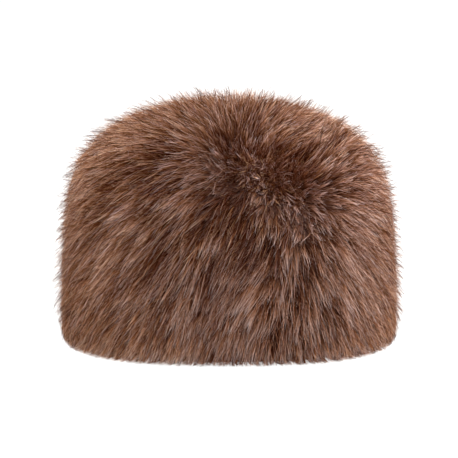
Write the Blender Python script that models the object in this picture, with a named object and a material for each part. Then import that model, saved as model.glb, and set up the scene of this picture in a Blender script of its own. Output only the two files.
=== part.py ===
"""Faux fur toque: a domed crown panel sewn to a deep side band, both of long brown pile.

Metres, +Z up. The origin is on the surface that the hat rests on, under the middle of its outline,
and the hat's front faces -Y. Each panel is one solid: knitted cloth round the head's hollow, with its
pile fused to it in rows of pointed locks. The locks run from a whorl at the front of the crown, over
the hat and down to the rim, and each row's tips stand over the roots of the next.
"""

import math
from collections import namedtuple

import bpy
import numpy as np

# The hollow that the head goes into
HEAD_WIDTH = 0.172
HEAD_DEPTH = 0.180
HOLLOW_HEIGHT = 0.139

# The fur fabric: its knitted cloth, and how far its pile stands off the cloth
CLOTH_WALL = 0.003
SIDE_PILE = 0.038
TOP_PILE = 0.040

# The seam between the crown and the band, by its height at the hollow, and the gap left in it
SEAM_HEIGHT = 0.090
SEAM_GAP = 0.0005

# The whorl, from the middle of the crown: forward, to the wearer's left, its reach and its hollow
WHORL_FORWARD = 0.080
WHORL_ASIDE = 0.028
WHORL_RADIUS = 0.032
WHORL_HOLLOW = 0.015

# The locks of the pile
LOCKS_ROUND = 48
CROWN_ROWS = 5
BAND_ROWS = 5
LOCK_RISE = 0.011  # a tip's height over the roots of the next row
LOCK_GROOVE = 0.006  # how much lower the groove between two locks is than their tips
TIP_REACH = 0.012  # how far a tip passes the end of its row
TIP_TUCK = 0.7  # how far out under its tips the next row has its roots, as a share of that
TIP_VARIES = 0.0015  # how much the tips' heights differ
REACH_VARIES = 0.3  # how much their reach differs, as a share of it

# How the locks differ, by two waves: the turn of each from column to column and from row to row, in radians
UNEVEN_ROUND = (2.3, 0.7)
UNEVEN_DOWN = (1.7, 2.9)

HOLLOW_STEPS = 6  # rings of facets along the hollow's crown
WALL_STEPS = 3  # rings of facets along its wall
OUTLINE_SAMPLES = 400
RAY_SAMPLES = 12  # places at which a ray's length is measured

FUR_BROWN = (0.202, 0.098, 0.058, 1.0)
CROWN_BROWN = (0.176, 0.083, 0.050, 1.0)
FUR_ROUGHNESS = 0.85

# A section across the hat, from the top of the crown to the rim: its half width and its height as
# shares of the whole, and how square its plan is, where 2 is an ellipse
Section = namedtuple("Section", "width height squareness")

FUR_SECTIONS = (
    Section(width=0.000, height=1.000, squareness=2.00),
    Section(width=0.220, height=0.990, squareness=2.00),
    Section(width=0.435, height=0.955, squareness=2.05),
    Section(width=0.620, height=0.902, squareness=2.10),
    Section(width=0.790, height=0.825, squareness=2.15),
    Section(width=0.908, height=0.715, squareness=2.20),
    Section(width=0.965, height=0.580, squareness=2.30),
    Section(width=0.986, height=0.430, squareness=2.35),
    Section(width=0.997, height=0.280, squareness=2.45),
    Section(width=1.000, height=0.130, squareness=2.55),
    Section(width=1.000, height=0.000, squareness=2.60),
)

CLOTH_SECTIONS = (
    Section(width=0.000, height=1.000, squareness=2.00),
    Section(width=0.300, height=0.985, squareness=2.00),
    Section(width=0.580, height=0.930, squareness=2.00),
    Section(width=0.800, height=0.825, squareness=2.05),
    Section(width=0.930, height=0.680, squareness=2.10),
    Section(width=0.985, height=0.480, squareness=2.20),
    Section(width=1.000, height=0.250, squareness=2.25),
    Section(width=1.000, height=0.000, squareness=2.30),
)


class Outline:
    """A smooth curve through a table of sections, read by its share of length from the top."""

    def __init__(self, sections):
        rows = np.array(sections)
        steps = np.hypot(*np.diff(rows[:, :2], axis=0).T)
        at = np.concatenate([[0.0], np.cumsum(steps)]) / steps.sum()
        slopes = np.gradient(rows, at, axis=0)
        slopes[0, 1] = 0.0  # the top is level
        self.shares = np.linspace(0.0, 1.0, OUTLINE_SAMPLES)
        left = np.clip(np.searchsorted(at, self.shares, side="right") - 1, 0, len(at) - 2)
        span = (at[left + 1] - at[left])[:, None]
        u = (self.shares - at[left])[:, None] / span
        self.samples = (
            (2 * u**3 - 3 * u**2 + 1) * rows[left]
            + (u**3 - 2 * u**2 + u) * span * slopes[left]
            + (3 * u**2 - 2 * u**3) * rows[left + 1]
            + (u**3 - u**2) * span * slopes[left + 1]
        )

    def at(self, share):
        """(width, height, squareness) at these shares of the outline's length."""
        return [np.interp(share, self.shares, column) for column in self.samples.T]

    def share_at_width(self, width):
        return float(np.interp(width, self.samples[:, 0], self.shares))

    def share_at_height(self, height):
        return float(np.interp(-height, -self.samples[:, 1], self.shares))


FUR_OUTLINE = Outline(FUR_SECTIONS)
CLOTH_OUTLINE = Outline(CLOTH_SECTIONS)


def shell(outline, half_width, half_depth, height, disc):
    """Points of a closed-topped shell at places of a disc, whose middle is the top and edge the rim."""
    share = np.minimum(np.hypot(disc[:, 0], disc[:, 1]), 1.0)
    angle = np.arctan2(disc[:, 1], disc[:, 0])
    width, level, squareness = outline.at(share)
    across = np.abs(np.cos(angle)) / half_width
    along = np.abs(np.sin(angle)) / half_depth
    radius = width * (across**squareness + along**squareness) ** (-1 / squareness)
    return np.column_stack([radius * np.cos(angle), radius * np.sin(angle), level * height])


def hollow_face(disc):
    return shell(CLOTH_OUTLINE, HEAD_WIDTH / 2, HEAD_DEPTH / 2, HOLLOW_HEIGHT, disc)


def cloth_face(disc):
    half_width = HEAD_WIDTH / 2 + CLOTH_WALL
    half_depth = HEAD_DEPTH / 2 + CLOTH_WALL
    return shell(CLOTH_OUTLINE, half_width, half_depth, HOLLOW_HEIGHT + CLOTH_WALL, disc)


def fur_face(disc):
    half_width = HEAD_WIDTH / 2 + CLOTH_WALL + SIDE_PILE
    half_depth = HEAD_DEPTH / 2 + CLOTH_WALL + SIDE_PILE
    height = HOLLOW_HEIGHT + CLOTH_WALL + TOP_PILE
    return shell(FUR_OUTLINE, half_width, half_depth, height, disc)


def whorl_place():
    """The whorl's place on the disc."""
    half_width = HEAD_WIDTH / 2 + CLOTH_WALL + SIDE_PILE
    half_depth = HEAD_DEPTH / 2 + CLOTH_WALL + SIDE_PILE
    plan = np.array([WHORL_ASIDE / half_width, -WHORL_FORWARD / half_depth])
    width = np.hypot(*plan)
    return plan / width * FUR_OUTLINE.share_at_width(width)


class Combing:
    """The rays that the locks follow: straight on the disc, from the whorl to even steps round the rim."""

    def __init__(self):
        columns = 2 * LOCKS_ROUND  # each lock has a crest and a groove
        angle = 2 * math.pi * np.arange(columns) / columns
        self.columns = np.arange(columns)
        self.start = whorl_place()
        self.way = np.column_stack([np.cos(angle), np.sin(angle)]) - self.start
        self.seam = self.reach_seam()
        self.length = self.measure()

    def reach_seam(self):
        """How far along each ray the seam is. It lies round the disc where the hollow has its height."""
        seam_share = CLOTH_OUTLINE.share_at_height(SEAM_HEIGHT / HOLLOW_HEIGHT)
        a = (self.way**2).sum(1)
        b = self.way @ self.start
        c = self.start @ self.start - seam_share**2
        return (-b + np.sqrt(b * b - a * c)) / a

    def place(self, t):
        """The rays' places on the disc at t, from 0 at the whorl to 1 at the rim."""
        return self.start + np.asarray(t).reshape(-1, 1) * self.way

    def measure(self):
        """Each ray's length over the fur."""
        steps = np.linspace(0.0, 1.0, RAY_SAMPLES)
        points = np.array([fur_face(self.place(np.full(len(self.way), t))) for t in steps])
        return np.linalg.norm(np.diff(points, axis=0), axis=2).sum(0)

    def crest(self, row):
        """1 on a lock's crest and 0 in the groove beside it. Each row's locks lie over the last row's grooves."""
        return ((self.columns + row) % 2).astype(float)

    def uneven(self, row):
        """A gentle change from lock to lock, from -1 to 1."""
        first = UNEVEN_ROUND[0] * self.columns + UNEVEN_DOWN[0] * row
        second = UNEVEN_ROUND[1] * self.columns - UNEVEN_DOWN[1] * row
        return np.sin(first) * np.cos(second)

    def pile_point(self, t, share):
        """Points at this share of the pile's depth over the cloth. The pile thins to a hollow at the whorl."""
        disc = self.place(t)
        cloth = cloth_face(disc)
        depth = fur_face(disc) - cloth
        from_whorl = t * self.length
        thinning = WHORL_HOLLOW / TOP_PILE * np.exp(-((from_whorl / WHORL_RADIUS) ** 2))
        return cloth + depth * (np.asarray(share) * (1 - thinning)).reshape(-1, 1)


COMBING = Combing()

# Shares of the pile's depth: where locks leave the body of the pile, the middle of a lock, and a groove
ROOT_SHARE = 1 - LOCK_RISE / SIDE_PILE
MIDDLE_RISE = 0.8
GROOVE_SHARE = 1 - LOCK_GROOVE / SIDE_PILE


def tip_share(row):
    crest = COMBING.crest(row)
    varied = TIP_VARIES / SIDE_PILE * COMBING.uneven(row)
    return GROOVE_SHARE + (1 - GROOVE_SHARE + varied) * crest


def tip_reach(row, row_length):
    """How far the tips of a row pass its end, as a share of their rays. It leaves half of the next row."""
    wanted = TIP_REACH / COMBING.length * (1 + REACH_VARIES * COMBING.uneven(row))
    return COMBING.crest(row) * np.minimum(wanted, row_length / 2)


def roots_under(end, reach):
    """The next row's roots, which lie back under the tips of this row."""
    return end + reach * TIP_TUCK


def lock_rings(first_row, roots, ends, row_length, last_is_level):
    """The outer rings of a panel's rows: the roots, the middle of the lock and its tip, then the next roots."""
    rings = []
    for index, end in enumerate(ends):
        row = first_row + index
        level = last_is_level and index == len(ends) - 1
        reach = 0.0 if level else tip_reach(row, row_length)
        tip = end + reach
        share = tip_share(row)
        middle_share = ROOT_SHARE + MIDDLE_RISE * (share - ROOT_SHARE)
        rings.append(COMBING.pile_point(roots, ROOT_SHARE))
        rings.append(COMBING.pile_point((roots + tip) / 2, middle_share))
        rings.append(COMBING.pile_point(tip, share))
        roots = roots_under(end, reach)
    return rings


def band_roots():
    """The first roots on the band, under the tips of the crown's last row."""
    reach = tip_reach(CROWN_ROWS - 1, COMBING.seam / CROWN_ROWS)
    return roots_under(COMBING.seam, reach)


def seam_faces(lowered):
    """The seam from the roots on the band in to the hollow, as three rings. The band's is lower by the gap."""
    rings = [
        COMBING.pile_point(band_roots(), ROOT_SHARE),
        cloth_face(COMBING.place(COMBING.seam)),
        hollow_face(COMBING.place(COMBING.seam)),
    ]
    return [ring - (0.0, 0.0, lowered) for ring in rings]


def lofted(name, rings, closes, turned):
    """A closed mesh through rings of points, each ring with the next, and the last with the first if it
    closes. A ring of one point is a pole. Rings that run up the outside have their faces turned round."""
    points = np.vstack(rings)
    firsts = np.cumsum([0] + [len(ring) for ring in rings])
    faces = []
    pairs = list(range(len(rings) - 1))
    if closes:
        pairs.append(len(rings) - 1)
    for i in pairs:
        j = (i + 1) % len(rings)
        count = max(len(rings[i]), len(rings[j]))
        here = firsts[i] + np.arange(count) % len(rings[i])
        there = firsts[j] + np.arange(count) % len(rings[j])
        here_next = np.roll(here, -1)
        there_next = np.roll(there, -1)
        if len(rings[j]) > 1:
            faces.append(np.column_stack([here, there, there_next]))
        if len(rings[i]) > 1:
            faces.append(np.column_stack([here, there_next, here_next]))
    faces = np.vstack(faces)
    if turned:
        faces = faces[:, ::-1]
    mesh = bpy.data.meshes.new(name)
    mesh.from_pydata(points.tolist(), [], faces.tolist())
    mesh.validate()
    obj = bpy.data.objects.new(name, mesh)
    bpy.context.scene.collection.objects.link(obj)
    return obj


def crown_rings():
    seam = COMBING.seam
    ends = [seam * (i + 1) / CROWN_ROWS for i in range(CROWN_ROWS)]
    middle = np.zeros_like(seam)
    whorl = [COMBING.pile_point(middle, ROOT_SHARE)[:1]]
    outer = lock_rings(0, middle, ends, seam / CROWN_ROWS, last_is_level=False)[1:]  # its roots are the whorl
    steps = np.linspace(1.0, 0.0, HOLLOW_STEPS + 1)[1:-1]
    hollow = [hollow_face(COMBING.place(seam * step)) for step in steps]
    hollow_top = [hollow_face(COMBING.place(middle))[:1]]
    return whorl + outer + seam_faces(0.0) + hollow + hollow_top


def band_rings():
    """From the seam down the hollow, across the rim and up over the locks. It meets the crown in the same order."""
    seam = COMBING.seam
    row_length = (1 - seam) / BAND_ROWS
    ends = [seam + row_length * (i + 1) for i in range(BAND_ROWS)]
    outer = lock_rings(CROWN_ROWS, band_roots(), ends, row_length, last_is_level=True)[1:]
    steps = np.linspace(0.0, 1.0, WALL_STEPS + 1)[1:]
    wall = [hollow_face(COMBING.place(seam + (1 - seam) * step)) for step in steps]
    rim = [cloth_face(COMBING.place(np.ones_like(seam)))]
    return seam_faces(SEAM_GAP) + wall + rim + outer[::-1]


def fur_material(name, colour):
    material = bpy.data.materials.new(name)
    material.use_nodes = True
    shader = material.node_tree.nodes["Principled BSDF"]
    shader.inputs["Base Color"].default_value = colour
    shader.inputs["Roughness"].default_value = FUR_ROUGHNESS
    shader.inputs["Metallic"].default_value = 0.0
    material.diffuse_color = colour
    return material


def centred(panels):
    """Moves the panels sideways together, so that the origin is under the middle of their outline."""
    points = np.vstack([ring for rings in panels for ring in rings])
    middle = (points.min(0) + points.max(0)) / 2
    middle[2] = 0.0
    return [[ring - middle for ring in rings] for rings in panels]


def clear_scene():
    for obj in list(bpy.data.objects):
        bpy.data.objects.remove(obj)


def build():
    clear_scene()
    crown, band = centred([crown_rings(), band_rings()])
    crown_panel = lofted("crown_panel", crown, closes=False, turned=False)
    crown_panel.data.materials.append(fur_material("crown_fur", CROWN_BROWN))
    side_band = lofted("side_band", band, closes=True, turned=True)
    side_band.data.materials.append(fur_material("band_fur", FUR_BROWN))


build()
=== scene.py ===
import math

import bpy
import numpy as np
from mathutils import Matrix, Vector


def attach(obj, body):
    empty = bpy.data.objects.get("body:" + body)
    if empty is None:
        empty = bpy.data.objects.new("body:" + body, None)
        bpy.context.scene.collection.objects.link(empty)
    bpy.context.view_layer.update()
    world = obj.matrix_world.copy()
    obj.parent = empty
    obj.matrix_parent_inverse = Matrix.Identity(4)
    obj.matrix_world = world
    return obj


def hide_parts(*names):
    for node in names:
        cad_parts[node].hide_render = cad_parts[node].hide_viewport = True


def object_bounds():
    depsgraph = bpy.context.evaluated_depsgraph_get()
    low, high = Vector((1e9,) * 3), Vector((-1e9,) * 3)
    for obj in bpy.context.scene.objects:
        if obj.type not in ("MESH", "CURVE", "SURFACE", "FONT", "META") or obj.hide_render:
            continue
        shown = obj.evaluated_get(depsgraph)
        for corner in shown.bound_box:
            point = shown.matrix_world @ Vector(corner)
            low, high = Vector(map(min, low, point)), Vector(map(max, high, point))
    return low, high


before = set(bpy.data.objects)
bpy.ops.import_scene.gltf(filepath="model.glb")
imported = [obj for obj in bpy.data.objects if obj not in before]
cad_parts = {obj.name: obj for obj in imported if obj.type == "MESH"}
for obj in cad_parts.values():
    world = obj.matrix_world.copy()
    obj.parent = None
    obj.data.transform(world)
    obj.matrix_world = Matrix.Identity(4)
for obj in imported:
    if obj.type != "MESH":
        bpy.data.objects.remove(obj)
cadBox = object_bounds()

# The hat stands on z = 0 and its front faces -Y. Lengths are in metres.

lowest, highest = (np.array(corner) for corner in cadBox)
furHalf = (highest - lowest) / 2
furHeight = highest[2]

hat = {
    "pileSide": 0.038,  # how far the pile stands off the cloth, at the sides and on top
    "pileTop": 0.040,
    "cloth": 0.003,  # the knitted cloth that holds the pile
    "seamHeight": 0.090,  # where the crown panel is sewn to the side band
}

# Sections from the top of the crown to the rim: half width and height as shares, and how square the plan is,
# where 2 is an ellipse. First the fur's face, then the cloth's
furSections = [
    {"width": 0.000, "height": 1.000, "square": 2.00},
    {"width": 0.220, "height": 0.990, "square": 2.00},
    {"width": 0.435, "height": 0.955, "square": 2.05},
    {"width": 0.620, "height": 0.902, "square": 2.10},
    {"width": 0.790, "height": 0.825, "square": 2.15},
    {"width": 0.908, "height": 0.715, "square": 2.20},
    {"width": 0.965, "height": 0.580, "square": 2.30},
    {"width": 0.986, "height": 0.430, "square": 2.35},
    {"width": 0.997, "height": 0.280, "square": 2.45},
    {"width": 1.000, "height": 0.130, "square": 2.55},
    {"width": 1.000, "height": 0.000, "square": 2.60},
]

clothSections = [
    {"width": 0.000, "height": 1.000, "square": 2.00},
    {"width": 0.300, "height": 0.985, "square": 2.00},
    {"width": 0.580, "height": 0.930, "square": 2.00},
    {"width": 0.800, "height": 0.825, "square": 2.05},
    {"width": 0.930, "height": 0.680, "square": 2.10},
    {"width": 0.985, "height": 0.480, "square": 2.20},
    {"width": 1.000, "height": 0.250, "square": 2.25},
    {"width": 1.000, "height": 0.000, "square": 2.30},
]


# A smooth curve through a table of sections: cubic pieces between the rows, their slopes taken from the rows
# on both sides, read at even shares of the curve's length
def smoothOutline(sections, samples=400):
    rows = np.array([[row["width"], row["height"], row["square"]] for row in sections])
    steps = np.hypot(*np.diff(rows[:, :2], axis=0).T)
    at = np.concatenate([[0.0], np.cumsum(steps)]) / steps.sum()
    slopes = np.gradient(rows, at, axis=0)
    slopes[0, 1] = 0.0  # level on top
    shares = np.linspace(0.0, 1.0, samples)
    left = np.clip(np.searchsorted(at, shares, side="right") - 1, 0, len(at) - 2)
    span = (at[left + 1] - at[left])[:, None]
    u = (shares - at[left])[:, None] / span
    curve = (
        (2 * u**3 - 3 * u**2 + 1) * rows[left]
        + (u**3 - 2 * u**2 + u) * span * slopes[left]
        + (3 * u**2 - 2 * u**3) * rows[left + 1]
        + (u**3 - u**2) * span * slopes[left + 1]
    )
    return shares, curve


furOutline = smoothOutline(furSections)
clothOutline = smoothOutline(clothSections)


# A place on a disc, whose middle is the top of the crown and whose edge is the rim, carried on to a face of
# the hat: radius = width / (|cos a / half width|^n + |sin a / half depth|^n)^(1/n), and the height that the
# outline has there
def onFace(outline, half, height, disc):
    share = np.minimum(np.linalg.norm(disc, axis=-1), 1.0)
    angle = np.arctan2(disc[..., 1], disc[..., 0])
    width, level, square = (np.interp(share, outline[0], column) for column in outline[1].T)
    across = np.abs(np.cos(angle)) / half[0]
    along = np.abs(np.sin(angle)) / half[1]
    radius = width * (across**square + along**square) ** (-1 / square)
    return np.stack([radius * np.cos(angle), radius * np.sin(angle), level * height], axis=-1)


# The fur's face = the CAD box's half sizes and height, in the fur's outline
def furFace(disc):
    return onFace(furOutline, furHalf, furHeight, disc)


# The cloth's face = the fur's sizes less the pile, in the cloth's outline
def clothFace(disc):
    return onFace(clothOutline, furHalf - hat["pileSide"], furHeight - hat["pileTop"], disc)


# The hollow's face = the cloth's sizes less the cloth
def hollowFace(disc):
    inset = hat["cloth"]
    return onFace(clothOutline, furHalf - hat["pileSide"] - inset, furHeight - hat["pileTop"] - inset, disc)


# A point in the pile = cloth + share * (fur - cloth)
def inPile(disc, share):
    cloth = clothFace(disc)
    return cloth + (furFace(disc) - cloth) * np.asarray(share)[..., None]


# The seam's place on the disc: the share of the way to the rim at which the cloth's face is at its height
clothLevels = clothOutline[1][:, 1] * (furHeight - hat["pileTop"])
seamShare = np.interp(-hat["seamHeight"], -clothLevels, clothOutline[0])
print("outlines read, seam at", round(float(seamShare), 3), "of the way from the top to the rim")


# A share of the way to the rim and an angle, as a place on the disc
def discPlace(place):
    share, angle = place
    return np.array([[share * math.cos(angle), share * math.sin(angle)]])


# Loops of places on the disc, one for each share: share * (cos a, sin a)
def discLoops(shares, turns):
    angle = np.linspace(0, 2 * math.pi, turns, endpoint=False)
    return shares[:, None, None] * np.stack([np.cos(angle), np.sin(angle)], axis=-1)[None]


# Vectors made one long: v / |v|
def unit(vectors):
    return vectors / np.maximum(np.linalg.norm(vectors, axis=-1, keepdims=True), 1e-9)


# How far two vectors go the same way: a . b
def dot(a, b):
    return (a * b).sum(-1)


# Smooth ups and downs, about from -1 to 1 and as long as size: the sum of sin(point . way + start) over
# seeded ways, by the root of their number. Calmer brings the length to size, and peak brings the height to 1
def swell(points, size, seed, waves=7, calmer=1.7, peak=1.4):
    random = np.random.default_rng(seed)
    ways = random.normal(size=(waves, 3)) * (2 * math.pi / size) / calmer
    starts = random.uniform(0, 2 * math.pi, waves)
    return np.sin(points @ ways.T + starts).sum(-1) / math.sqrt(waves) / peak


# Even places on the disc: turn k of a golden spiral, with the same area of fur between one and the next. Each
# is moved by up to jitter steps along the spiral and as many across it
def evenPlaces(count, seed, jitter=0.5, rings=160, turns=120):
    shares = np.linspace(0.0, 1.0, rings)
    grid = furFace(discLoops(shares, turns))
    apart = np.linalg.norm(np.diff(grid, axis=0), axis=-1)
    around = np.linalg.norm(np.roll(grid, -1, axis=1) - grid, axis=-1)
    areas = (apart * (around[1:] + around[:-1]) / 2).sum(1)
    total = np.concatenate([[0.0], np.cumsum(areas)])
    random = np.random.default_rng(seed)
    k = np.arange(count) + 0.5 + random.uniform(-jitter, jitter, count)
    share = np.interp(k / count * total[-1], total, shares)
    golden = math.pi * (3 - math.sqrt(5))
    across = 2 / np.sqrt(count)  # a step across, as an angle
    angle = np.arange(count) * golden + random.uniform(-jitter, jitter, count) * across
    return np.stack([share * np.cos(angle), share * np.sin(angle)], axis=-1)


# How the whole pile is combed
combing = {
    "partingStart": (0.445, math.radians(-84)),  # the pile parts along a line, from here to partingEnd
    "partingEnd": (0.535, math.radians(-65)),
    "partingReach": 0.012,  # how far from the parting the pile still tangles
    "standingReach": 0.021,  # and how far it still stands up
    "partingTravel": 0.30,  # how much of the travel is left on the parting
    "partingTangle": math.radians(70),  # how much the pile turns any way there
    "travel": 0.044,  # how far along the hat a hair runs from its root to its tip
    "leastTravel": 0.02,  # share of it that is left to hairs on the rim
    "droop": 0.6,  # how much the pile hangs down at the sides and back
    "droopFrom": -0.090,  # it starts this far back and is full in the middle of the hat
    "swirl": math.radians(4),  # the slow turning of the pile from place to place
    "swirlSize": 0.060,
    "swirlSeed": 5,
    "rootShare": 0.36,  # of the pile's depth
    "tipShare": 0.93,
    "waveHeight": 0.025,  # slow ups and downs of the pile
    "waveSize": 0.045,
    "waveSeed": 9,
    "rise": 1.8,  # the depth grows as 1 - (1 - s)^rise, the travel as s
    "shows": 0.70,  # about where along its travel a hair shows
    "rimClear": 0.006,  # hairs end up to this far short of the rim
    "rimShare": 0.95,  # no hair stands out further than this at the rim, and this much more away from it
    "rimRise": 3.0,
    "rimFree": 0.2,  # how freely its hairs stand off their lock there, and from how far in they do fully
    "rimReach": 0.15,
}

# Strokes of the comb on the front, seen from there: place across and up, reach, and how far each turns the
# pile, in degrees
strokes = [
    {"across": 0.029, "up": 0.053, "reach": 0.028, "turn": -25},
    {"across": 0.029, "up": 0.096, "reach": 0.015, "turn": 28},
    {"across": 0.057, "up": 0.092, "reach": 0.016, "turn": -30},
    {"across": -0.074, "up": 0.147, "reach": 0.026, "turn": 22},
    {"across": -0.019, "up": 0.053, "reach": 0.016, "turn": 14},
    {"across": 0.090, "up": 0.147, "reach": 0.020, "turn": 28},
    {"across": 0.048, "up": 0.173, "reach": 0.018, "turn": -28},
    {"across": -0.028, "up": 0.118, "reach": 0.014, "turn": -14},
]


# How close points are to a place on the front, from 1 to 0: exp(-(far / reach)^2)
def closeness(points, place):
    far = np.hypot(points[:, 0] - place["across"], points[:, 2] - place["up"])
    return np.exp(-((far / place["reach"]) ** 2)) * (points[:, 1] < 0)


# Where the comb has drawn the pile into locks: seen from the front, place across and up, and reach
combed = {"across": 0.0, "up": 0.060, "reach": 0.120}


# How loose the pile is, from 0 where it is combed into locks to 1 at the sides and back
def looseness(points):
    return 1 - closeness(points, combed)


# The way to points from the nearest place on the parting: point - start - share * line, with share = how far
# along the line the point is, from 0 to 1
def fromParting(points):
    start = furFace(discPlace(combing["partingStart"]))[0]
    line = furFace(discPlace(combing["partingEnd"]))[0] - start
    share = np.clip((points - start) @ line / (line @ line), 0, 1)
    return points - start - share[..., None] * line


# What the comb does at places on the disc. The pile runs out from the parting along the fur's face,
# way = away - (away . normal) normal, and behind it hangs down, way + droop * hang, with hang = (normal . up)
# normal - up. Near and standing go from 1 on the parting to 0 as exp(-(far / reach)^2)
def readComb(disc):
    step = 0.004  # between the places on the disc whose difference is the slope
    points = furFace(disc)
    du = (furFace(disc + [step, 0]) - furFace(disc - [step, 0])) / (2 * step)
    dv = (furFace(disc + [0, step]) - furFace(disc - [0, step])) / (2 * step)
    normals = unit(np.cross(du, dv))
    away = fromParting(points)
    far = np.linalg.norm(away, axis=-1)
    near = np.exp(-((far / combing["partingReach"]) ** 2))
    standing = np.exp(-((far / combing["standingReach"]) ** 2))
    way = unit(away - dot(away, normals)[:, None] * normals)
    hang = normals[:, 2:] * normals - [0, 0, 1]
    way = unit(way + combing["droop"] * np.clip(1 - points[:, 1:2] / combing["droopFrom"], 0, 1) * hang)
    turn = swell(points, combing["swirlSize"], combing["swirlSeed"]) * combing["swirl"]
    reach = combing["shows"] * combing["travel"] * way
    for stroke in strokes:
        turn += math.radians(stroke["turn"]) * closeness(points + reach, stroke)
    seen = points + (1 - (1 - combing["partingTravel"]) * standing)[:, None] * reach
    return {
        "disc": disc,
        "points": points,
        "seen": seen,
        "normals": normals,
        "du": du,
        "dv": dv,
        "near": near,
        "standing": standing,
        "way": way,
        "turn": turn,
    }


# A way in space as one on the disc, by least squares: the shares of the slopes du and dv whose sum comes
# nearest to it
def onDisc(comb, way):
    du, dv = comb["du"], comb["dv"]
    a, b, c = dot(du, du), dot(du, dv), dot(dv, dv)
    p, q = dot(way, du), dot(way, dv)
    return np.stack([c * p - b * q, a * q - b * p], axis=-1) / np.maximum(a * c - b * b, 1e-9)[..., None]


# How freely hairs stand off their lock: evenly more from the rim to rimReach, and fully from there
def freedom(disc):
    fromRim = 1 - np.linalg.norm(disc, axis=-1)
    return np.interp(fromRim, (0, combing["rimReach"]), (combing["rimFree"], 1))


# Hairs from their roots, as points at shares s of their length. The place on the disc is root + reach * s and
# ends at the rim, where |root + reach * s| = 1 - clear. The share of the pile's depth goes from rootShare to
# tipShare as 1 - (1 - s)^rise
def hairCurves(comb, s, travel, turning, tipShare, rootShare, clear, rise=combing["rise"]):
    roots, normals = comb["disc"], comb["normals"]
    turn = (comb["turn"] + turning)[:, None]
    way = comb["way"] * np.cos(turn) + np.cross(normals, comb["way"]) * np.sin(turn)
    travel = travel * (1 - (1 - combing["partingTravel"]) * comb["standing"])
    reach = onDisc(comb, way * travel[:, None])
    a = dot(reach, reach)
    b = dot(roots, reach)
    c = dot(roots, roots) - (1 - clear) ** 2
    toRim = (-b + np.sqrt(np.maximum(b * b - a * c, 0.0))) / a
    at = s[None, :] * np.clip(toRim, combing["leastTravel"], 1.0)[:, None]
    disc = roots[:, None, :] + reach[:, None, :] * at[..., None]
    share = rootShare + (tipShare - rootShare)[:, None] * (1 - (1 - s[None, :]) ** rise)
    fromRim = 1 - np.linalg.norm(disc, axis=-1)
    return inPile(disc, np.minimum(share, combing["rimShare"] + combing["rimRise"] * fromRim))


# The index of the nearest centre to each point, from |a - b|^2 = |a|^2 + |b|^2 - 2 a.b in blocks
def nearest(points, centres, block=4096):
    found = np.empty(len(points), int)
    square = dot(centres, centres)
    for start in range(0, len(points), block):
        part = points[start : start + block]
        found[start : start + block] = (square[None] - 2 * part @ centres.T).argmin(1)
    return found


# Curves with even rows, read at other shares of their length: low + part * (next - low)
def readCurves(curves, shares):
    rows = curves.shape[1] - 1
    low = np.clip((shares * rows).astype(int), 0, rows - 1)
    part = (shares * rows - low)[..., None]
    index = np.arange(len(curves))[:, None]
    return curves[index, low] * (1 - part) + curves[index, low + 1] * part


mapName = "OFBake"  # on it a hair's tone runs across, and its length up


# A mesh from arrays of points and triangles, with a place on the map for each corner
def makeMesh(name, points, triangles, places=None):
    mesh = bpy.data.meshes.new(name)
    mesh.vertices.add(len(points))
    mesh.vertices.foreach_set("co", points.astype(np.float32).ravel())
    mesh.loops.add(triangles.size)
    mesh.loops.foreach_set("vertex_index", triangles.astype(np.int32).ravel())
    mesh.polygons.add(len(triangles))
    mesh.polygons.foreach_set("loop_start", np.arange(0, triangles.size, 3, dtype=np.int32))
    mesh.update(calc_edges=True)
    if places is not None:
        layer = mesh.uv_layers.new(name=mapName)
        layer.uv.foreach_set("vector", places.astype(np.float32).ravel())
    mesh.polygons.foreach_set("use_smooth", np.ones(len(triangles), bool))
    obj = bpy.data.objects.new(name, mesh)
    bpy.context.scene.collection.objects.link(obj)
    return obj


strand = {
    "mapWidth": 0.0013,  # of each side of a hair on the map
    "lift": 0.0002,  # no hair goes lower than this
    "raise": 0.5,  # of the middle of a straight hair, as a share of its radius
}


# Many hairs as one mesh, from the faces of one hair. For each of their corners there is the side of the hair
# that it is on, and its row. On the map: across = tone + side * width, up = how far along the hair the row is
def makeHairs(name, hair, points, faces, sides, rows):
    count, perHair = points.shape[:2]
    points[..., 2] = np.maximum(points[..., 2], strand["lift"])
    faces = np.array(faces)[None] + (np.arange(count) * perHair)[:, None, None]
    width = strand["mapWidth"]
    tone = hair["tone"] * (1 - 3 * width)  # leaves room for the three sides
    u = tone[:, None, None] + np.array(sides)[None] * width
    places = np.stack([u, hair["along"][:, np.array(rows)]], axis=-1)
    return makeMesh(name, points.reshape(-1, 3), faces.reshape(-1, 3), places.reshape(-1, 2))


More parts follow.
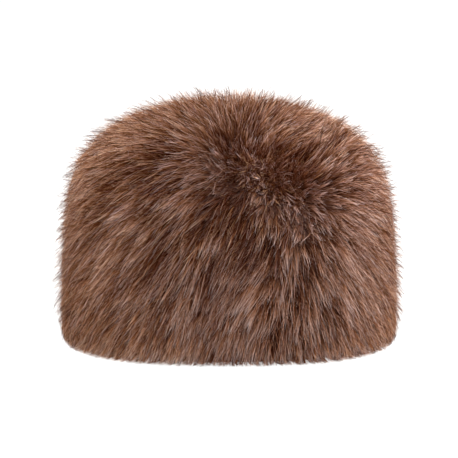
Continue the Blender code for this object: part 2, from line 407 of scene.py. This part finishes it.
# Closed tapering hairs, three sided: a point at the root, rings on the curve between, and a point at the tip.
# A ring is curve + radius * (cos f * side + sin f * lift), with f in thirds of a turn
def hairMesh(name, hair):
    curves, radius = hair["curves"], hair["radius"]
    count, rows = curves.shape[:2]
    rings = rows - 2
    random = np.random.default_rng(count)
    tangent = unit(np.gradient(curves, axis=1))
    side = unit(np.cross(tangent, random.normal(size=(count, 1, 3))))
    lift = np.cross(tangent, side)
    f = np.arange(3) * 2 * math.pi / 3
    inner = slice(1, rows - 1)
    ringPoints = (
        curves[:, inner, None, :]
        + (radius[:, inner, None] * np.cos(f))[..., None] * side[:, inner, None, :]
        + (radius[:, inner, None] * np.sin(f))[..., None] * lift[:, inner, None, :]
    )
    points = np.concatenate([curves[:, :1], ringPoints.reshape(count, rings * 3, 3), curves[:, -1:]], axis=1)
    faces, sides, row = [], [], []
    for k in range(3):
        n = (k + 1) % 3
        faces.append([0, 1 + n, 1 + k])
        sides.append([k + 0.5, k + 1, k])
        row.append([0, 1, 1])
        for ring in range(rings - 1):
            low, high = 1 + ring * 3, 4 + ring * 3
            faces += [[low + k, low + n, high + n], [low + k, high + n, high + k]]
            sides += [[k, k + 1, k + 1], [k, k + 1, k]]
            row += [[ring + 1, ring + 1, ring + 2], [ring + 1, ring + 2, ring + 2]]
        last = 1 + (rings - 1) * 3
        faces.append([last + k, last + n, rings * 3 + 1])
        sides.append([k, k + 1, k + 0.5])
        row.append([rings, rings, rings + 1])
    return makeHairs(name, hair, points, faces, sides, row)


# Straight fine hairs, four faces each: a point at the root, a pair at middle -+ radius * side, raised so that
# the hair isn't flat, and a point at the tip
def straightMesh(name, hair):
    radius = hair["radius"][:, 1:2]
    root, tip = hair["curves"][:, 0], hair["curves"][:, -1]
    count = len(root)
    random = np.random.default_rng(count)
    middle = root + hair["middle"] * (tip - root)
    side = unit(np.cross(tip - root, random.normal(size=(count, 3))))
    lift = unit(np.cross(tip - root, side))
    raised = middle + strand["raise"] * radius * lift
    points = np.stack([root, raised - radius * side, raised + radius * side, tip], axis=1)
    faces = [[0, 1, 2], [1, 3, 2], [0, 3, 1], [0, 2, 3]]
    sides = [[0.5, 0, 1], [0, 0.5, 1], [1.5, 1.5, 1], [1.5, 2, 1.5]]
    rows = [[0, 1, 1], [1, 2, 1], [0, 2, 1], [0, 1, 2]]
    return makeHairs(name, hair, points, faces, sides, rows)


# A colour ramp node with its stops, read by a source
def ramp(tree, source, stops):
    made = tree.nodes.new("ShaderNodeValToRGB")
    elements = made.color_ramp.elements
    while len(elements) < len(stops):
        elements.new(0.5)
    for element, (position, colour) in zip(elements, stops):
        element.position = position
        element.color = (*colour, 1.0)
    tree.links.new(source, made.inputs["Fac"])
    return made


pileFinish = {
    # Near-black roots are painted shade deep in the pile; pale tips are partly own colour, partly painted
    # highlight
    "shadeAndHighlightAlongHair": [  # from its root to its tip
        (0.00, (0.020, 0.004, 0.001)),
        (0.42, (0.060, 0.017, 0.005)),
        (0.66, (0.180, 0.080, 0.042)),
        (0.85, (0.490, 0.325, 0.255)),
        (1.00, (0.880, 0.770, 0.720)),
    ],
    "fromHairToHair": [
        (0.00, (0.10, 0.034, 0.012)),  # warm hairs, dark to pale
        (0.20, (0.48, 0.365, 0.245)),
        (0.49, (1.00, 0.93, 0.80)),
        # Cool hairs: pinkish grey, partly the pile's own hue, partly painted sheen in place of specular
        # highlights
        (0.51, (0.09, 0.032, 0.016)),  # cool hairs, dark to pale
        (0.71, (0.44, 0.385, 0.42)),
        (1.00, (0.91, 0.93, 1.00)),
    ],
    "roughness": 0.42,
    # No specular: the highlights on the hairs are painted into their colour instead
    "specular": 0.0,
}


# Pile: its colour runs from dark roots to pale tips along the hair (v), times a tone from hair to hair (u).
# The dark roots are painted shade deep in the pile, and the pale tips are partly a painted highlight
def pileMaterial(name, finish):
    material = bpy.data.materials.new(name)
    material.use_nodes = True
    tree = material.node_tree
    shader = tree.nodes["Principled BSDF"]
    places = tree.nodes.new("ShaderNodeUVMap")
    places.uv_map = mapName
    apart = tree.nodes.new("ShaderNodeSeparateXYZ")
    tree.links.new(places.outputs["UV"], apart.inputs["Vector"])
    along = ramp(tree, apart.outputs["Y"], finish["shadeAndHighlightAlongHair"])
    between = ramp(tree, apart.outputs["X"], finish["fromHairToHair"])
    mix = tree.nodes.new("ShaderNodeMix")
    mix.data_type = "RGBA"
    mix.blend_type = "MULTIPLY"
    mix.inputs["Factor"].default_value = 1.0
    tree.links.new(along.outputs["Color"], mix.inputs["A"])
    tree.links.new(between.outputs["Color"], mix.inputs["B"])
    tree.links.new(mix.outputs["Result"], shader.inputs["Base Color"])
    shader.inputs["Roughness"].default_value = finish["roughness"]
    shader.inputs["Specular IOR Level"].default_value = finish["specular"]
    return material


# The pile is combed on three levels: hairs close up in tufts, tufts in locks, and locks in bunches
bunches = {
    "seed": 1,
    "count": 1000,
    "turn": math.radians(4),
    "tipVaries": 0.03,
    "travelVaries": 0.15,
    "pull": 0.45,  # how far its locks are drawn to it at their tips, which grows as s^pullPower
    "pullPower": 2,
    "toneVaries": 0.22,
}

locks = {
    "seed": 2,
    "count": 5600,
    "turn": math.radians(9),
    "tipVaries": 0.04,
    "travelVaries": 0.30,
    "pull": (0.65, 1.00),  # how far its tufts are drawn to it
    "pullPower": 1.2,
    "looser": 0.40,  # how much less they are where the pile is loose
    "toneVaries": 0.42,
}

tufts = {
    "seed": 3,
    "count": 32500,
    "rows": 5,  # points along a tuft's curve
    "turn": math.radians(8),
    "tipVaries": 0.05,
    "travelVaries": 0.25,
    "contrast": (1.55, 0.85),  # of their tones, where they are combed into locks and where they are loose
    "uneven": (-0.0006, 0.0024),  # how far off their lock they stand: middle, and how much it varies
    "looser": 0.5,  # how much more it varies where the pile is loose
    "offPower": 1.5,  # it grows as s^offPower
    "proud": 0.14,  # share of the tufts that stand out further, and how far
    "proudBy": 0.0026,
    "proudMost": 0.0065,
    "toneVaries": 0.36,
}

# Short tufts that lie all ways over the parting
whorl = {
    "seed": 6,
    "count": 2000,
    "beside": (-0.15, 1.15),  # from where to where they stand beside the parting, as shares of it
    "apart": 0.030,  # and how far from it, as a share of the outline
    "turn": math.radians(80),
    "travel": (0.006, 0.020),
    "rootShare": 0.5,
    "tip": (0.62, 0.94),
    "tone": -0.22,
    "evener": 0.7,  # how much nearer to 0 the tones of tufts and single hairs are there
    "dimmer": 0.45,  # how much darker the palest hair is there
}

# The hairs of each tuft
hairs = {
    "seed": 21,
    "perTuft": 3,
    "spread": 0.0006,  # of a tuft's hairs at their roots
    "gather": (0.75, 1.0),  # how much of that is gone at their tips
    "stray": 0.0004,  # how far a hair leaves its tuft, which grows as s^strayPower
    "strayPower": 1.5,
    "straying": 0.16,  # share of the hairs that stray further, and how many times as far more
    "strayMore": 3,
    "bend": 0.0009,
    "length": (0.66, 1.06),  # as shares of the tuft's, before the power that evens them
    "lengthPower": 0.7,
    "middle": 0.64,  # where along it a hair is thickest and bends
    "radius": (0.00014, 0.00023),
    "toneVaries": 0.10,
    "tone": 0.36,
}

# Patches of the front, seen from there: place across and up, reach, share of cool hairs, and how much paler.
# Paler patches are painted highlight and sheen, darker ones, below 0, painted shade
patches = [
    {"across": 0.015, "up": 0.062, "reach": 0.105, "cool": 1.05, "paintedLight": 0.00},
    {"across": 0.000, "up": 0.028, "reach": 0.030, "cool": 0.00, "paintedLight": 0.10},
    {"across": -0.072, "up": 0.022, "reach": 0.042, "cool": 0.00, "paintedLight": 0.46},
    {"across": 0.075, "up": 0.020, "reach": 0.040, "cool": 0.30, "paintedLight": 0.30},
    {"across": 0.095, "up": 0.115, "reach": 0.040, "cool": 0.60, "paintedLight": 0.14},
    {"across": 0.010, "up": 0.176, "reach": 0.035, "cool": 0.35, "paintedLight": 0.14},
    {"across": 0.005, "up": 0.105, "reach": 0.038, "cool": -0.40, "paintedLight": -0.03},
    {"across": -0.030, "up": 0.146, "reach": 0.022, "cool": 0.60, "paintedLight": 0.75},
    {"across": 0.101, "up": 0.066, "reach": 0.016, "cool": 0.45, "paintedLight": 0.70},
    {"across": 0.096, "up": 0.050, "reach": 0.013, "cool": 0.30, "paintedLight": 0.70},
    {"across": -0.039, "up": 0.030, "reach": 0.012, "cool": 0.40, "paintedLight": 0.80},
    {"across": -0.002, "up": 0.024, "reach": 0.011, "cool": 0.40, "paintedLight": 0.35},
    {"across": 0.024, "up": 0.042, "reach": 0.014, "cool": 0.35, "paintedLight": 1.25},
    {"across": 0.066, "up": 0.087, "reach": 0.014, "cool": 0.35, "paintedLight": 1.20},
    {"across": 0.088, "up": 0.057, "reach": 0.012, "cool": 0.35, "paintedLight": 0.85},
    {"across": 0.112, "up": 0.016, "reach": 0.018, "cool": 0.10, "paintedLight": 0.75},
    {"across": -0.070, "up": 0.147, "reach": 0.020, "cool": 0.00, "paintedLight": -0.60},
    {"across": 0.004, "up": 0.089, "reach": 0.012, "cool": 0.00, "paintedLight": -0.55},
    {"across": 0.045, "up": 0.132, "reach": 0.017, "cool": 0.00, "paintedLight": -0.30},
    {"across": 0.028, "up": 0.161, "reach": 0.016, "cool": 0.00, "paintedLight": -0.45},
    {"across": 0.056, "up": 0.168, "reach": 0.010, "cool": 0.00, "paintedLight": -0.55},
    {"across": 0.086, "up": 0.146, "reach": 0.016, "cool": 0.00, "paintedLight": -0.60},
    {"across": -0.006, "up": 0.156, "reach": 0.012, "cool": 0.00, "paintedLight": -0.80},
    {"across": 0.043, "up": 0.071, "reach": 0.011, "cool": 0.00, "paintedLight": -0.90},
    {"across": 0.085, "up": 0.112, "reach": 0.012, "cool": 0.00, "paintedLight": -0.35},
    {"across": -0.085, "up": 0.162, "reach": 0.012, "cool": 0.00, "paintedLight": 0.40},
]

# Tones from hair to hair, dark at 0 and pale at 1
tinting = {
    "warmTo": 0.49,  # warm hairs lie on the map from 0 to here, dark to pale
    "coolFrom": 0.51,  # and cool ones from here to 1
    # The cool hairs' pinkish grey is partly painted sheen
    "cool": 0.10,  # share of cool hairs away from the patches
    "swellSize": 0.05,  # slow changes of tone from place to place
    "swellTone": 0.16,
    "swellSeed": 31,
    "streakSize": 0.017,  # and quick ones, which the combed pile draws out into streaks
    "streakTone": (0.55, 0.30),  # where it is combed into locks and where it is loose
    "streakSeed": 32,
}


# Where a hair's tone lies on the map: tone + swell + streak + how much paler * closeness for each patch,
# which is painted highlight above 0 and painted shade below, scaled to the warm or the cool stretch. None is
# pale where the pile stands up over the parting
def tint(seen, standing, draws, tone):
    cool = np.full(len(seen), tinting["cool"])
    tone = tone + tinting["swellTone"] * swell(seen, tinting["swellSize"], tinting["swellSeed"])
    streak = np.interp(looseness(seen), (0, 1), tinting["streakTone"])
    tone = tone + streak * swell(seen, tinting["streakSize"], tinting["streakSeed"])
    for patch in patches:
        close = closeness(seen, patch)
        cool += patch["cool"] * close
        tone += patch["paintedLight"] * close
    tone = np.clip(tone, 0, 1 - whorl["dimmer"] * standing)
    return tinting["warmTo"] * tone + tinting["coolFrom"] * (draws < cool)


# One level of the pile: where its members stand, how the comb takes them, and their curves. Each member has
# its own turn, travel * (1 +- varies) and tip = tipShare + wave - |off|
def pileLevel(level, s):
    random = np.random.default_rng(level["seed"])
    comb = readComb(evenPlaces(level["count"], level["seed"]))
    count = level["count"]
    travel = combing["travel"] * (1 + level["travelVaries"] * random.uniform(-1, 1, count))
    tangle = combing["partingTangle"] * comb["near"]
    turning = random.normal(0, 1, count) * (level["turn"] + tangle)
    wave = combing["waveHeight"] * swell(comb["points"], combing["waveSize"], combing["waveSeed"])
    tip = combing["tipShare"] + wave - np.abs(random.normal(0, level["tipVaries"], count))
    clear = random.uniform(0, combing["rimClear"], count)
    return comb, hairCurves(comb, s, travel, turning, tip, combing["rootShare"], clear)


# The tufts over the parting: roots strewn round the line start + (end - start) * share, each combed its own
# way and none cut short for standing
def whorlTufts(s):
    random = np.random.default_rng(whorl["seed"])
    count = whorl["count"]
    start, end = discPlace(combing["partingStart"]), discPlace(combing["partingEnd"])
    disc = start + (end - start) * random.uniform(*whorl["beside"], (count, 1))
    comb = readComb(disc + random.normal(0, whorl["apart"], (count, 2)))
    turning = random.normal(0, 1, count) * whorl["turn"]
    tip = random.uniform(*whorl["tip"], count)
    travel = random.uniform(*whorl["travel"], count)
    notStanding = {**comb, "standing": np.zeros(count)}
    return comb, hairCurves(notStanding, s, travel, turning, tip, whorl["rootShare"], 0)


# The tufts of the whole hat: their places, curves and tones. A lock's curve is drawn to its bunch and a
# tuft's to its lock, the more the further along: curve + pull * s^power * (curve of the other - curve)
def makeTufts(random):
    s = np.linspace(0, 1, tufts["rows"])
    bunch, bunchCurves = pileLevel(bunches, s)
    lock, lockCurves = pileLevel(locks, s)
    tuft, curves = pileLevel(tufts, s)
    bunchOf = nearest(lock["points"], bunch["points"])
    pull = bunches["pull"] * s ** bunches["pullPower"]
    lockCurves = lockCurves + pull[None, :, None] * (bunchCurves[bunchOf] - lockCurves)
    lockOf = nearest(tuft["points"], lock["points"])
    loose = looseness(tuft["seen"])
    pull = random.uniform(*locks["pull"], len(lockOf)) * (1 - locks["looser"] * loose)
    pull = pull[:, None] * s[None, :] ** locks["pullPower"]
    curves = curves + pull[..., None] * (lockCurves[lockOf] - curves)

    # Each stands a little off its lock, some of them well out: curve + off * s^offPower * normal
    off = random.normal(*tufts["uneven"], len(lockOf)) * (1 + tufts["looser"] * loose)
    off += (random.uniform(size=len(off)) < tufts["proud"]) * random.exponential(tufts["proudBy"], len(off))
    off = np.minimum(off, tufts["proudMost"]) * freedom(tuft["disc"])
    curves += (off[:, None] * s[None, :] ** tufts["offPower"])[..., None] * tuft["normals"][:, None, :]

    over, overCurves = whorlTufts(s)
    curves = np.concatenate([curves, overCurves])
    tuft = {key: np.concatenate([tuft[key], over[key]]) for key in ("disc", "seen", "normals", "standing")}
    tone = random.normal(0, bunches["toneVaries"], bunches["count"])[bunchOf]
    tone = (tone + random.normal(0, locks["toneVaries"], locks["count"]))[lockOf]
    tone = np.concatenate([tone, np.full(whorl["count"], whorl["tone"])])
    contrast = np.interp(looseness(tuft["seen"]), (0, 1), tufts["contrast"])
    own = contrast * random.normal(0, tufts["toneVaries"], len(tone))
    own *= 1 - whorl["evener"] * tuft["standing"]
    return {**tuft, "curves": curves, "tone": contrast * tone + own}


# A tuft's hairs stand around it and close up towards its tip: curve + spread * (1 - gather * s)
# + stray * s^power + bend * sin(pi s), where spread and bend lie along the fur: v - (v . normal) normal
def makePile():
    random = np.random.default_rng(hairs["seed"])
    tuft = makeTufts(random)
    tuftOf = np.repeat(np.arange(len(tuft["curves"])), hairs["perTuft"])
    count = len(tuftOf)
    normals = tuft["normals"][tuftOf]
    length = random.uniform(*hairs["length"], count) ** hairs["lengthPower"]
    s = np.array([0.0, hairs["middle"], 1.0])
    along = length[:, None] * s[None, :]
    base = readCurves(tuft["curves"][tuftOf], along)
    spread = random.normal(0, hairs["spread"], (count, 3))
    spread -= dot(spread, normals)[:, None] * normals
    gather = 1 - random.uniform(*hairs["gather"], count)[:, None] * s[None, :]
    bend = random.normal(0, hairs["bend"], (count, 3))
    bend -= dot(bend, normals)[:, None] * normals
    loose = looseness(tuft["seen"])[tuftOf][:, None]
    strays = random.uniform(size=(count, 1)) < hairs["straying"]
    stray = random.normal(0, hairs["stray"], (count, 3)) * (1 + loose + hairs["strayMore"] * strays)
    free = freedom(tuft["disc"])[tuftOf][:, None]
    curves = base + spread[:, None] * gather[..., None]
    curves += (free * stray)[:, None] * (s ** hairs["strayPower"])[None, :, None]
    curves += (free * bend)[:, None] * np.sin(math.pi * s)[None, :, None]
    radius = np.repeat(random.uniform(*hairs["radius"], (count, 1)), len(s), axis=1)
    tone = hairs["tone"] + tuft["tone"][tuftOf] + random.normal(0, hairs["toneVaries"], count)
    draws = random.uniform(size=len(tuft["curves"]))[tuftOf]
    tone = tint(tuft["seen"][tuftOf], tuft["standing"][tuftOf], draws, tone)
    return {"curves": curves, "radius": radius, "tone": tone, "along": along, "roots": tuft["disc"][tuftOf]}


# A soft down over the pile: fine straight hairs
down = {
    "seed": 60,
    "straight": True,
    "groups": 52000,
    "perGroup": 1,
    "apart": 0.0,
    "shares": [0.0, 0.86, 1.0],  # where its points lie along a hair, and how thick it is there
    "thick": [1.0, 1.0, 1.0],
    "radius": (0.00006, 0.00009),
    "rootShare": 0.70,
    "tipShare": (1.00, 0.10),  # middle, and how much it varies
    "rise": 1.0,
    "travel": (0.008, 0.018),
    "tip": 0.84,  # how far along the pile's colours its tip is
    "turn": math.radians(14),
    # Paler than the pile's hairs: partly the down's own colour, partly painted glow of light through the
    # fur's edge
    "tones": [0.2, 0.6, 1.0],
}

# Single hairs that lie on the pile, most of them pale as a painted highlight, the rest dark
topHairs = {
    "seed": 68,
    "straight": False,
    "groups": 8000,
    "perGroup": 1,
    "apart": 0.0,
    "shares": [0.0, 0.6, 1.0],
    "thick": [1.0, 1.0, 1.0],
    "radius": (0.00012, 0.00019),
    "rootShare": 0.72,
    "tipShare": (1.01, 0.03),
    "rise": 1.8,
    "travel": (0.026, 0.046),
    "tip": 1.0,
    "turn": math.radians(9),
    "tones": [0.0, 0.8, 1.0],
}

# Wisps in threes that stand out of the pile
wisps = {
    "seed": 77,
    "straight": False,
    "groups": 1100,
    "perGroup": 3,
    "apart": 0.0009,  # how far the hairs of a group are from one another at their roots
    "shares": [0.0, 0.45, 0.90, 1.0],
    "thick": [1.0, 1.0, 0.9, 0.0],
    "radius": (0.00011, 0.00017),
    "rootShare": 0.60,
    "tipShare": (1.15, 0.060),
    "rise": 1.15,
    "travel": (0.024, 0.040),
    "tip": 0.62,
    "turn": math.radians(12),
    "tones": [0.2, 0.3, 0.4],
}

# What holds for the hairs of all three
singles = {
    "jitter": 1.5,  # how unevenly their groups stand
    "travel": (0.8, 1.2),  # of a hair, as shares of its group's
    "turn": 0.3,
    "tip": 0.7,  # how much tips vary from group to group, and within one
    "tipMost": 1.20,
    "apartMost": 1.5,
    "closer": 0.6,  # how far apart a group's tips are, to its roots
}


# Single hairs in groups: each group is combed its own way, and its hairs lie beside one another, at
# curve + apart * (1 at the root to closer at the tip)
def makeSingles(kind):
    s = np.array(kind["shares"])
    random = np.random.default_rng(kind["seed"])
    groups, members = kind["groups"], kind["perGroup"]
    count = groups * members
    comb = readComb(np.repeat(evenPlaces(groups, kind["seed"] + 1, singles["jitter"]), members, axis=0))
    turning = np.repeat(random.normal(0, kind["turn"], groups), members)
    travel = np.repeat(random.uniform(*kind["travel"], groups), members)
    travel = travel * random.uniform(*singles["travel"], count)
    turning = turning + random.normal(0, singles["turn"] * kind["turn"], count)
    middle, varies = kind["tipShare"]
    tip = np.repeat(random.normal(middle, singles["tip"] * varies, groups), members)
    tip = np.minimum(tip + random.normal(0, singles["tip"] * varies, count), singles["tipMost"])
    clear = random.uniform(0, combing["rimClear"], count)
    curves = hairCurves(comb, s, travel, turning, tip, kind["rootShare"], clear, kind["rise"])
    most = singles["apartMost"]
    apart = kind["apart"] * np.clip(random.normal(0, 1, (count, 1, 3)), -most, most)
    curves = curves + apart * np.linspace(1.0, singles["closer"], len(s))[None, :, None]
    radius = random.uniform(*kind["radius"], count)[:, None] * np.array(kind["thick"])[None]
    draws = random.uniform(size=count)
    tone = random.choice(kind["tones"], count) * (1 - whorl["evener"] * comb["standing"])
    tone = tint(comb["seen"], comb["standing"], draws, tone)
    along = np.tile(s * kind["tip"], (count, 1))
    hair = {"curves": curves, "radius": radius, "tone": tone, "along": along, "roots": comb["disc"]}
    return {**hair, "middle": s[1]} if kind["straight"] else hair


# A closed shell between two faces of the hat: loops down the outer one and back up the inner one, from one
# share of the disc to another. A shell from 0 closes on top
def shellBetween(name, inner, outer, start, end, rings, turns=120):
    disc = discLoops(np.linspace(start, end, rings), turns)
    loops = np.concatenate([outer(disc), inner(disc)[::-1]], axis=0)
    points = loops.reshape(-1, 3)
    index = np.arange(len(points)).reshape(len(loops), turns)
    if start == 0:  # the first and the last loop are the two poles
        index[0] = index[0, 0]
        index[-1] = index[-1, 0]
        here, there = index[:-1], index[1:]
    else:
        here, there = index, np.roll(index, -1, axis=0)
    hereNext, thereNext = np.roll(here, -1, axis=1), np.roll(there, -1, axis=1)
    halves = np.stack([here, there, thereNext], -1), np.stack([here, thereNext, hereNext], -1)
    triangles = np.concatenate([half.reshape(-1, 3) for half in halves])
    a, b, c = triangles.T
    triangles = triangles[(a != b) & (b != c) & (a != c)]
    used, remade = np.unique(triangles, return_inverse=True)
    return makeMesh(name, points[used], remade.reshape(-1, 3))


# The plush under the hairs, as shares of the pile's depth
plush = {
    "back": 0.01,
    "face": 0.46,
    "varies": 0.05,  # its ups and downs, and their size in metres
    "size": 0.018,
    "seed": 41,
    "fuller": 0.06,  # how much deeper it is over the parting
    "reach": 1.6,  # how far round it, as a share of the parting's reach
}


# The plush's face = face + varies * swell + fuller * exp(-(far / reach)^2)
def plushFace(disc):
    points = furFace(disc)
    far = np.linalg.norm(fromParting(points), axis=-1) / (plush["reach"] * combing["partingReach"])
    wave = plush["varies"] * swell(points, plush["size"], plush["seed"])
    return inPile(disc, plush["face"] + wave + plush["fuller"] * np.exp(-(far**2)))


# The plush's back = just off the cloth
def plushBack(disc):
    return inPile(disc, np.full(disc.shape[:-1], plush["back"]))


knitFinish = {
    "columns": 342,  # of stitches round the hat
    "row": 0.0013,  # height of a stitch
    "slant": 1.2,  # of its two legs, in rows
    "patches": 55,  # ups and downs of its colour to a metre
    "between": 0.45,  # how much of the colour they make
    # Dark where a stitch is low: painted shade between the stitches
    "colours": [
        (0.00, (0.045, 0.022, 0.013)),
        (0.45, (0.110, 0.064, 0.041)),
        (1.00, (0.205, 0.132, 0.090)),
    ],
    "roughness": 0.88,
    "bump": 0.7,
    "deep": 0.0005,
}

# The plush is near black: partly the dark brown of the pile's roots, partly painted shade deep in the pile
plushShadeFinish = {
    "tufts": 700,  # to a metre
    "patches": 70,  # as for the knit
    "between": 0.40,
    "colours": [
        (0.30, (0.020, 0.005, 0.002)),
        (0.50, (0.045, 0.013, 0.005)),
        (0.75, (0.085, 0.029, 0.012)),
    ],
    "roughness": 0.92,
    "bump": 0.8,
    "deep": 0.0012,
}


# A maths node whose inputs are numbers or other nodes' outputs
def calculate(tree, operation, *values):
    node = tree.nodes.new("ShaderNodeMath")
    node.operation = operation
    for socket, value in zip(node.inputs, values):
        if isinstance(value, (int, float)):
            socket.default_value = value
        else:
            tree.links.new(value, socket)
    return node.outputs["Value"]


# A noise node's height over places, with scale as its ups and downs to a metre
def noise(tree, places, scale, detail=3.0):
    made = tree.nodes.new("ShaderNodeTexNoise")
    made.inputs["Scale"].default_value = scale
    made.inputs["Detail"].default_value = detail
    tree.links.new(places, made.inputs["Vector"])
    return made.outputs["Fac"]


# A cloth whose colour and bump follow a height: colour = ramp((1 - between) * height + between * slow noise),
# so its low parts are darker, painted shade in them
def clothMaterial(name, finish, heightOf):
    material = bpy.data.materials.new(name)
    material.use_nodes = True
    tree = material.node_tree
    shader = tree.nodes["Principled BSDF"]
    places = tree.nodes.new("ShaderNodeTexCoord").outputs["Object"]
    height = heightOf(tree, places, finish)
    slow = calculate(tree, "MULTIPLY", noise(tree, places, finish["patches"]), finish["between"])
    tone = calculate(tree, "MULTIPLY_ADD", height, 1 - finish["between"], slow)
    tree.links.new(ramp(tree, tone, finish["colours"]).outputs["Color"], shader.inputs["Base Color"])
    bump = tree.nodes.new("ShaderNodeBump")
    bump.inputs["Strength"].default_value = finish["bump"]
    bump.inputs["Distance"].default_value = finish["deep"]
    tree.links.new(height, bump.inputs["Height"])
    tree.links.new(bump.outputs["Normal"], shader.inputs["Normal"])
    shader.inputs["Roughness"].default_value = finish["roughness"]
    return material


# Stitches in columns round the hat and rows down it, each with two slanted legs:
# |sin(pi * (row + slant * leg))| * sin(2 pi * leg), where leg runs from 0 to 1/2 and back across a column
def stitches(tree, places, finish):
    apart = tree.nodes.new("ShaderNodeSeparateXYZ")
    tree.links.new(places, apart.inputs["Vector"])
    x, y, z = apart.outputs
    far = calculate(tree, "MULTIPLY", y, y)
    far = calculate(tree, "SQRT", calculate(tree, "MULTIPLY_ADD", x, x, far))
    row = calculate(tree, "DIVIDE", calculate(tree, "SUBTRACT", far, z), finish["row"])
    turn = calculate(tree, "ARCTAN2", y, x)
    column = calculate(tree, "MULTIPLY", turn, finish["columns"] / (2 * math.pi))
    leg = calculate(tree, "PINGPONG", column, 0.5)
    slanted = calculate(tree, "MULTIPLY_ADD", leg, finish["slant"], row)
    wave = calculate(tree, "SINE", calculate(tree, "MULTIPLY", slanted, math.pi))
    along = calculate(tree, "ABSOLUTE", wave)
    across = calculate(tree, "SINE", calculate(tree, "MULTIPLY", leg, 2 * math.pi))
    return calculate(tree, "MULTIPLY", along, across)


# The short dense pile under the hairs
def shortPile(tree, places, finish):
    return noise(tree, places, finish["tufts"])


# A piece takes its panel's place: the panel is hidden and the piece hangs from the root
def belongsTo(piece, panel):
    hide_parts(panel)
    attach(piece, "root")


# The layers under the hairs, from one face of the hat to another, with the rings of each part
layers = [
    {"name": "Cloth", "finish": "knit", "inner": hollowFace, "outer": clothFace, "crown": 24, "band": 14},
    {"name": "Plush", "finish": "plush", "inner": plushBack, "outer": plushFace, "crown": 40, "band": 36},
]


# The cloth and the plush on it, each in two pieces that meet at the seam
def makeBase():
    finishes = {
        "plush": clothMaterial("plush", plushShadeFinish, shortPile),
        "knit": clothMaterial("knit", knitFinish, stitches),
    }
    for layer in layers:
        for panel, kind, start, end in (
            ("crown_panel", "crown", 0, seamShare),
            ("side_band", "band", seamShare, 1),
        ):
            name = kind + layer["name"]
            piece = shellBetween(name, layer["inner"], layer["outer"], start, end, layer[kind])
            piece.data.materials.append(finishes[layer["finish"]])
            belongsTo(piece, panel)


makeBase()
print("cloth and plush made")

packing = {"perPiece": 190000}  # triangles at most


# Hairs in pieces of the panel that they grow on, one after another round the hat
def makeHairPieces(name, hair, material):
    share = np.linalg.norm(hair["roots"], axis=-1)
    angle = np.arctan2(hair["roots"][:, 1], hair["roots"][:, 0])
    straight = "middle" in hair
    perHair = 4 if straight else 6 * (hair["curves"].shape[1] - 2)  # triangles
    for panel, kind, chosen in (
        ("crown_panel", "crown", share < seamShare),
        ("side_band", "band", share >= seamShare),
    ):
        order = np.flatnonzero(chosen)
        order = order[np.argsort(angle[order])]
        parts = np.array_split(order, math.ceil(len(order) * perHair / packing["perPiece"]))
        for number, part in enumerate(parts, 1):
            picked = {key: hair[key][part] for key in ("curves", "radius", "tone", "along")}
            pieceName = f"{kind}{name}{number}"
            if straight:
                piece = straightMesh(pieceName, {**picked, "middle": hair["middle"]})
            else:
                piece = hairMesh(pieceName, picked)
            piece.data.materials.append(material)
            belongsTo(piece, panel)
            print(pieceName, "made,", len(part), "hairs")


pile = pileMaterial("pile", pileFinish)
makeHairPieces("Pile", makePile(), pile)
makeHairPieces("Down", makeSingles(down), pile)
makeHairPieces("TopHairs", makeSingles(topHairs), pile)
makeHairPieces("Wisps", makeSingles(wisps), pile)

studio = {
    "elevation": 10,  # of the camera, in degrees
    "distance": 3.0,
    "lens": 309,
    "aim": (0.0, 0.0, 0.0803),
    "floorSize": 30,
    "floorPaint": (0.08, 0.08, 0.08),
    "floorRoughness": 0.9,
    "floorGlow": 0.89,  # with this and the lights the floor is only just white
    "world": 0.68,
    "lightAim": (0.0, 0.0, 0.08),
}

softboxes = [
    {"name": "leftLight", "place": (-1.8, -0.4, 0.55), "size": 0.3, "watts": 58},
    {"name": "rightLight", "place": (1.8, -0.5, 0.60), "size": 0.3, "watts": 94},
    {"name": "topLight", "place": (0.0, 0.7, 1.8), "size": 0.4, "watts": 24},
    {"name": "frontLight", "place": (0.3, -2.1, 0.8), "size": 0.4, "watts": 104},
    {"name": "leftRimLight", "place": (-1.5, 1.3, 0.5), "size": 0.6, "watts": 66},
    {"name": "rightRimLight", "place": (1.5, 1.3, 0.5), "size": 0.6, "watts": 66},
]


# The camera at the photo's angle, the floor, and soft lights that face the hat
def makeStudio():
    angle = math.radians(studio["elevation"])
    back = Vector((0, -math.cos(angle), math.sin(angle)))
    camera = bpy.data.objects.new("camera", bpy.data.cameras.new("camera"))
    camera.data.lens = studio["lens"]
    camera.location = Vector(studio["aim"]) + back * studio["distance"]
    camera.rotation_euler = (-back).to_track_quat("-Z", "Y").to_euler()
    bpy.context.scene.collection.objects.link(camera)
    bpy.context.scene.camera = camera
    half = studio["floorSize"] / 2
    corners = np.array([[-half, -half, 0], [half, -half, 0], [half, half, 0], [-half, half, 0]], float)
    floor = makeMesh("floor", corners, np.array([[0, 1, 2], [0, 2, 3]]))
    paint = bpy.data.materials.new("floorPaint")
    paint.use_nodes = True
    shader = paint.node_tree.nodes["Principled BSDF"]
    shader.inputs["Base Color"].default_value = (*studio["floorPaint"], 1)
    shader.inputs["Roughness"].default_value = studio["floorRoughness"]
    shader.inputs["Emission Color"].default_value = (1, 1, 1, 1)
    shader.inputs["Emission Strength"].default_value = studio["floorGlow"]
    floor.data.materials.append(paint)
    world = bpy.data.worlds.new("studio")
    world.use_nodes = True
    world.node_tree.nodes["Background"].inputs["Color"].default_value = (1, 1, 1, 1)
    world.node_tree.nodes["Background"].inputs["Strength"].default_value = studio["world"]
    bpy.context.scene.world = world
    for box in softboxes:
        light = bpy.data.objects.new(box["name"], bpy.data.lights.new(box["name"], "AREA"))
        light.data.size = box["size"]
        light.data.energy = box["watts"]
        light.location = box["place"]
        aim = Vector(studio["lightAim"]) - light.location
        light.rotation_euler = aim.to_track_quat("-Z", "Y").to_euler()
        bpy.context.scene.collection.objects.link(light)
    bpy.context.scene.view_settings.view_transform = "Standard"


makeStudio()
print("studio made")
